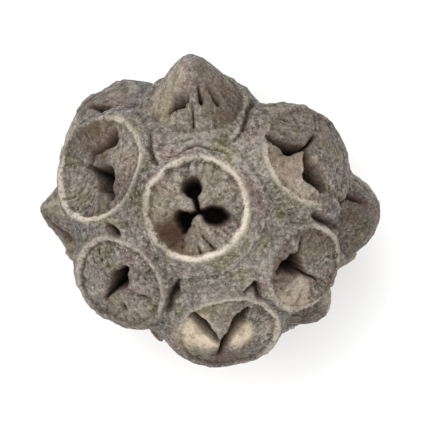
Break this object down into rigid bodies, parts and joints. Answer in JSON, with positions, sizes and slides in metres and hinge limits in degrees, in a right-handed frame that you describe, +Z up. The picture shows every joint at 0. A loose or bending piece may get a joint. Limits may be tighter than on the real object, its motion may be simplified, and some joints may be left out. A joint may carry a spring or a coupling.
{
  "type": "fused gumnut seed ball",
  "caption": "Dried woody seed head of gumnut capsules fused into a ball: rimmed cups with split, valved discs and pointed domes round a torn stalk scar.",
  "frame": {"origin": "on the plane that the ball rests on, under the middle of its bounding box", "axes": "+Z up, out of the top capsule and away from the torn stalk scar; +X along the ball's greatest width"},
  "size_m": [0.0402, 0.0364, 0.03],
  "materials": {
    "weathered_wood": "dry, gritty, weathered grey-brown"
  },
  "bodies": {
    "root": {"seed_ball": "weathered_wood"}
  },
  "joints": []
}
